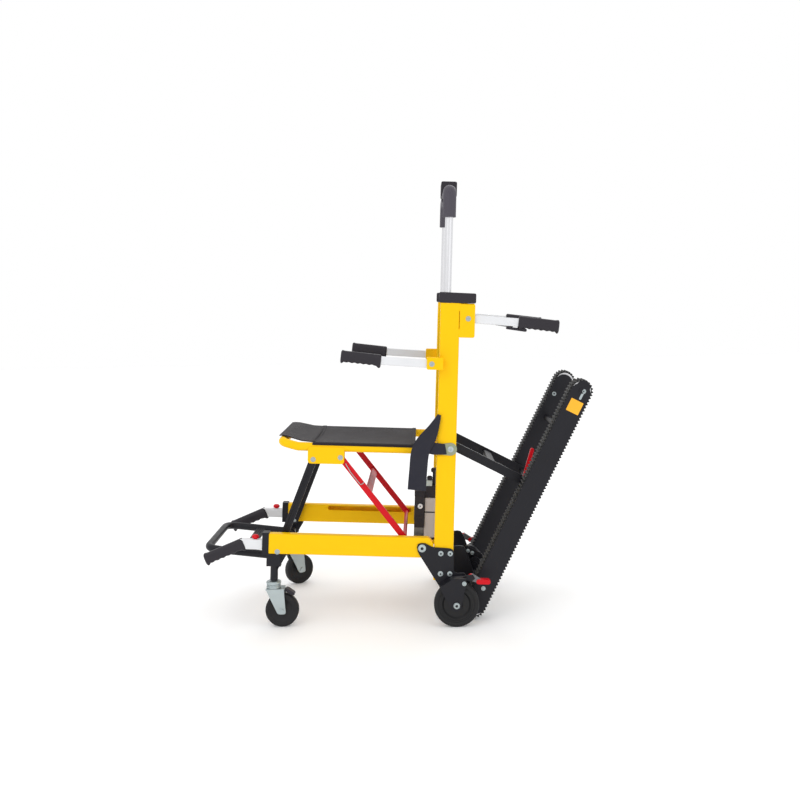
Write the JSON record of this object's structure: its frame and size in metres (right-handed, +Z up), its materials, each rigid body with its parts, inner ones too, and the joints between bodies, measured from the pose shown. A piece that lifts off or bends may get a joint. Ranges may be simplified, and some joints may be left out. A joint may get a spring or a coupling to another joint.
{
  "type": "stair chair",
  "caption": "Folding patient transport chair with a cloth seat, lift handles, wheels and a powered pair of rubber stair tracks on a swing-out frame.",
  "frame": {"origin": "on the floor, under the centre of the chair's own box", "axes": "+Z up, +X to the rear of the chair, where the operator stands, +Y to the occupant's right"},
  "size_m": [1.1974, 0.566, 1.3465],
  "materials": {
    "yellow_paint": "satin",
    "black_paint": "satin",
    "black_plastic": "matt",
    "silver": "satin",
    "zinc": "satin",
    "grey_plastic": "gloss",
    "red_plastic": "gloss",
    "red_paint": "satin",
    "seat_fabric": "woven",
    "belt_webbing": "woven",
    "foam": "matt",
    "rubber": "matt"
  },
  "bodies": {
    "back_frame": {"post_left": "yellow_paint", "post_right": "yellow_paint", "post_cap_left": "black_plastic", "post_cap_right": "black_plastic", "wheel_yoke_left": "black_paint", "wheel_yoke_right": "black_paint", "backrest_top_bar": "black_paint", "backrest_low_bar": "black_paint", "pivot_axle": "silver", "lower_cross_member": "black_paint", "backrest_sling": "seat_fabric", "battery_pack": "grey_plastic", "control_module": "black_plastic", "drive_unit": "black_paint", "lap_belt_left": "belt_webbing", "lap_belt_right": "belt_webbing"},
    "rails": {"rail_left": "yellow_paint", "rail_right": "yellow_paint", "rail_end_left": "black_paint", "rail_end_right": "black_paint", "front_cross_tube": "black_paint"},
    "footrest": {"footrest": "black_paint"},
    "seat": {"seat_frame": "yellow_paint", "seat_sling": "seat_fabric"},
    "brace": {"brace_frame": "red_paint"},
    "top_handle": {"top_handle_tube": "silver", "top_grip_left": "foam", "top_grip_right": "foam", "control_box": "black_plastic"},
    "rocker": {"direction_rocker": "red_plastic"},
    "track": {"track_chassis_left": "black_paint", "track_chassis_right": "black_paint", "track_belt_left": "rubber", "track_belt_right": "rubber", "track_cross_tube": "black_paint"},
    "drive_shaft": {"drive_shaft": "silver"},
    "link": {"link_frame": "black_paint"},
    "release_lever": {"release_lever": "red_plastic"},
    "strut_left": {"strut_left": "black_paint"},
    "strut_right": {"strut_right": "black_paint"},
    "low_handle_left": {"low_handle_left": "silver"},
    "knob_left": {"plunger_knob_left": "red_plastic"},
    "caster_left": {"caster_fork_left": "zinc"},
    "caster_wheel_left": {"caster_wheel_left": "rubber"},
    "caster_pedal_left": {"caster_pedal_left": "black_plastic"},
    "rear_wheel_left": {"rear_wheel_left": "rubber"},
    "brake_pedal_left": {"brake_pedal_left": "red_plastic"},
    "mid_handle_left": {"mid_handle_left": "silver"},
    "rear_handle_left": {"rear_handle_left": "silver"},
    "idler_left": {"idler_pulley_left": "silver"},
    "low_handle_right": {"low_handle_right": "silver"},
    "knob_right": {"plunger_knob_right": "red_plastic"},
    "caster_right": {"caster_fork_right": "zinc"},
    "caster_wheel_right": {"caster_wheel_right": "rubber"},
    "caster_pedal_right": {"caster_pedal_right": "black_plastic"},
    "rear_wheel_right": {"rear_wheel_right": "rubber"},
    "brake_pedal_right": {"brake_pedal_right": "red_plastic"},
    "mid_handle_right": {"mid_handle_right": "silver"},
    "rear_handle_right": {"rear_handle_right": "silver"},
    "idler_right": {"idler_pulley_right": "silver"}
  },
  "joints": [
    {"name": "rails_fold", "type": "hinge", "parent": "back_frame", "child": "rails", "pos_m": [0.07172, 0, 0.2285], "axis": [0, 1, 0], "range_deg": [0, 84]},
    {"name": "seat_fold", "type": "hinge", "parent": "back_frame", "child": "seat", "pos_m": [0.16328, 0, 0.52236], "axis": [0, 1, 0], "range_deg": [0, 87]},
    {"name": "strut_left_fold", "type": "hinge", "parent": "rails", "child": "strut_left", "pos_m": [-0.36148, -0.192, 0.22621], "axis": [0, 1, 0], "range_deg": [-89, 0]},
    {"name": "strut_right_fold", "type": "hinge", "parent": "rails", "child": "strut_right", "pos_m": [-0.36148, 0.192, 0.22621], "axis": [0, 1, 0], "range_deg": [-89, 0]},
    {"name": "brace_fold", "type": "hinge", "parent": "seat", "child": "brace", "pos_m": [-0.16965, 0, 0.49845], "axis": [0, 1, 0], "range_deg": [-41, 0]},
    {"name": "footrest_fold", "type": "hinge", "parent": "rails", "child": "footrest", "pos_m": [-0.37036, 0, 0.19559], "axis": [0, 1, 0], "range_deg": [0, 30]},
    {"name": "low_handle_left_slide", "type": "slide", "parent": "rails", "child": "low_handle_left", "axis": [-0.9989, 0, 0.0478], "range_m": [0, 0.09]},
    {"name": "knob_left_pull", "type": "slide", "parent": "low_handle_left", "child": "knob_left", "axis": [0.0478, 0, 0.9989], "range_m": [0, 0.006], "stiffness_N_per_m": 400, "springref_m": -0.002},
    {"name": "caster_left_swivel", "type": "hinge", "parent": "rails", "child": "caster_left", "pos_m": [-0.37575, -0.22, 0.12477], "axis": [0, 0, 1], "continuous": true},
    {"name": "caster_wheel_left_spin", "type": "hinge", "parent": "caster_left", "child": "caster_wheel_left", "pos_m": [-0.35175, -0.22, 0.04997], "axis": [0, 1, 0], "continuous": true},
    {"name": "caster_pedal_left_press", "type": "hinge", "parent": "caster_left", "child": "caster_pedal_left", "pos_m": [-0.33775, -0.22, 0.11077], "axis": [0, 1, 0], "range_deg": [-20, 0]},
    {"name": "rear_wheel_left_spin", "type": "hinge", "parent": "back_frame", "child": "rear_wheel_left", "pos_m": [0.17042, -0.257, 0.067], "axis": [0, 1, 0], "continuous": true},
    {"name": "brake_pedal_left_press", "type": "hinge", "parent": "back_frame", "child": "brake_pedal_left", "pos_m": [0.21827, -0.257, 0.1444], "axis": [0, 1, 0], "range_deg": [0, 20]},
    {"name": "mid_handle_left_fold", "type": "hinge", "parent": "back_frame", "child": "mid_handle_left", "pos_m": [0.1121, -0.25, 0.7794], "axis": [0, 1, 0], "range_deg": [0, 90]},
    {"name": "rear_handle_left_fold", "type": "hinge", "parent": "back_frame", "child": "rear_handle_left", "pos_m": [0.22452, -0.22, 0.91098], "axis": [0, 1, 0], "range_deg": [0, 85]},
    {"name": "low_handle_right_slide", "type": "slide", "parent": "rails", "child": "low_handle_right", "axis": [-0.9989, 0, 0.0478], "range_m": [0, 0.09]},
    {"name": "knob_right_pull", "type": "slide", "parent": "low_handle_right", "child": "knob_right", "axis": [0.0478, 0, 0.9989], "range_m": [0, 0.006], "stiffness_N_per_m": 400, "springref_m": -0.002},
    {"name": "caster_right_swivel", "type": "hinge", "parent": "rails", "child": "caster_right", "pos_m": [-0.37575, 0.22, 0.12477], "axis": [0, 0, 1], "continuous": true},
    {"name": "caster_wheel_right_spin", "type": "hinge", "parent": "caster_right", "child": "caster_wheel_right", "pos_m": [-0.35609, 0.23377, 0.04997], "axis": [-0.5736, 0.8192, 0], "continuous": true},
    {"name": "caster_pedal_right_press", "type": "hinge", "parent": "caster_right", "child": "caster_pedal_right", "pos_m": [-0.34462, 0.2418, 0.11077], "axis": [-0.5736, 0.8192, 0], "range_deg": [-20, 0]},
    {"name": "rear_wheel_right_spin", "type": "hinge", "parent": "back_frame", "child": "rear_wheel_right", "pos_m": [0.17042, 0.257, 0.067], "axis": [0, 1, 0], "continuous": true},
    {"name": "brake_pedal_right_press", "type": "hinge", "parent": "back_frame", "child": "brake_pedal_right", "pos_m": [0.21827, 0.257, 0.1444], "axis": [0, 1, 0], "range_deg": [0, 20]},
    {"name": "mid_handle_right_fold", "type": "hinge", "parent": "back_frame", "child": "mid_handle_right", "pos_m": [0.1121, 0.25, 0.7794], "axis": [0, 1, 0], "range_deg": [0, 90]},
    {"name": "rear_handle_right_fold", "type": "hinge", "parent": "back_frame", "child": "rear_handle_right", "pos_m": [0.22452, 0.22, 0.91098], "axis": [0, 1, 0], "range_deg": [0, 85]},
    {"name": "top_handle_slide", "type": "slide", "parent": "back_frame", "child": "top_handle", "axis": [0.0478, 0, 0.9989], "range_m": [-0.2, 0]},
    {"name": "rocker_tilt", "type": "hinge", "parent": "top_handle", "child": "rocker", "pos_m": [0.1972, 0, 1.33377], "axis": [0, 1, 0], "range_deg": [-6, 6], "stiffness_Nm_per_rad": 0.3},
    {"name": "track_fold", "type": "hinge", "parent": "back_frame", "child": "track", "pos_m": [0.22603, 0, 0.04291], "axis": [0, 1, 0], "range_deg": [-24, 0]},
    {"name": "link_fold", "type": "hinge", "parent": "back_frame", "child": "link", "pos_m": [0.16328, 0, 0.52236], "axis": [0, 1, 0], "range_deg": [0, 46.5]},
    {"name": "release_lever_pull", "type": "hinge", "parent": "link", "child": "release_lever", "pos_m": [0.4013, -0.06, 0.40718], "axis": [0, 1, 0], "range_deg": [-20, 0]},
    {"name": "drive_shaft_spin", "type": "hinge", "parent": "track", "child": "drive_shaft", "pos_m": [0.22603, 0, 0.04291], "axis": [0, 1, 0], "continuous": true},
    {"name": "idler_left_spin", "type": "hinge", "parent": "track", "child": "idler_left", "pos_m": [0.56281, -0.175, 0.68494], "axis": [0, 1, 0], "continuous": true},
    {"name": "idler_right_spin", "type": "hinge", "parent": "track", "child": "idler_right", "pos_m": [0.56281, 0.175, 0.68494], "axis": [0, 1, 0], "continuous": true}
  ],
  "couplings": [
    {"joint": "seat_fold", "follows": "rails_fold", "ratio": 1.033},
    {"joint": "strut_left_fold", "follows": "rails_fold", "ratio": -1.054},
    {"joint": "strut_right_fold", "follows": "rails_fold", "ratio": -1.054},
    {"joint": "brace_fold", "follows": "rails_fold", "ratio": -0.48},
    {"joint": "link_fold", "follows": "track_fold", "ratio": -1.93},
    {"joint": "idler_left_spin", "follows": "drive_shaft_spin", "ratio": 1},
    {"joint": "idler_right_spin", "follows": "drive_shaft_spin", "ratio": 1}
  ]
}
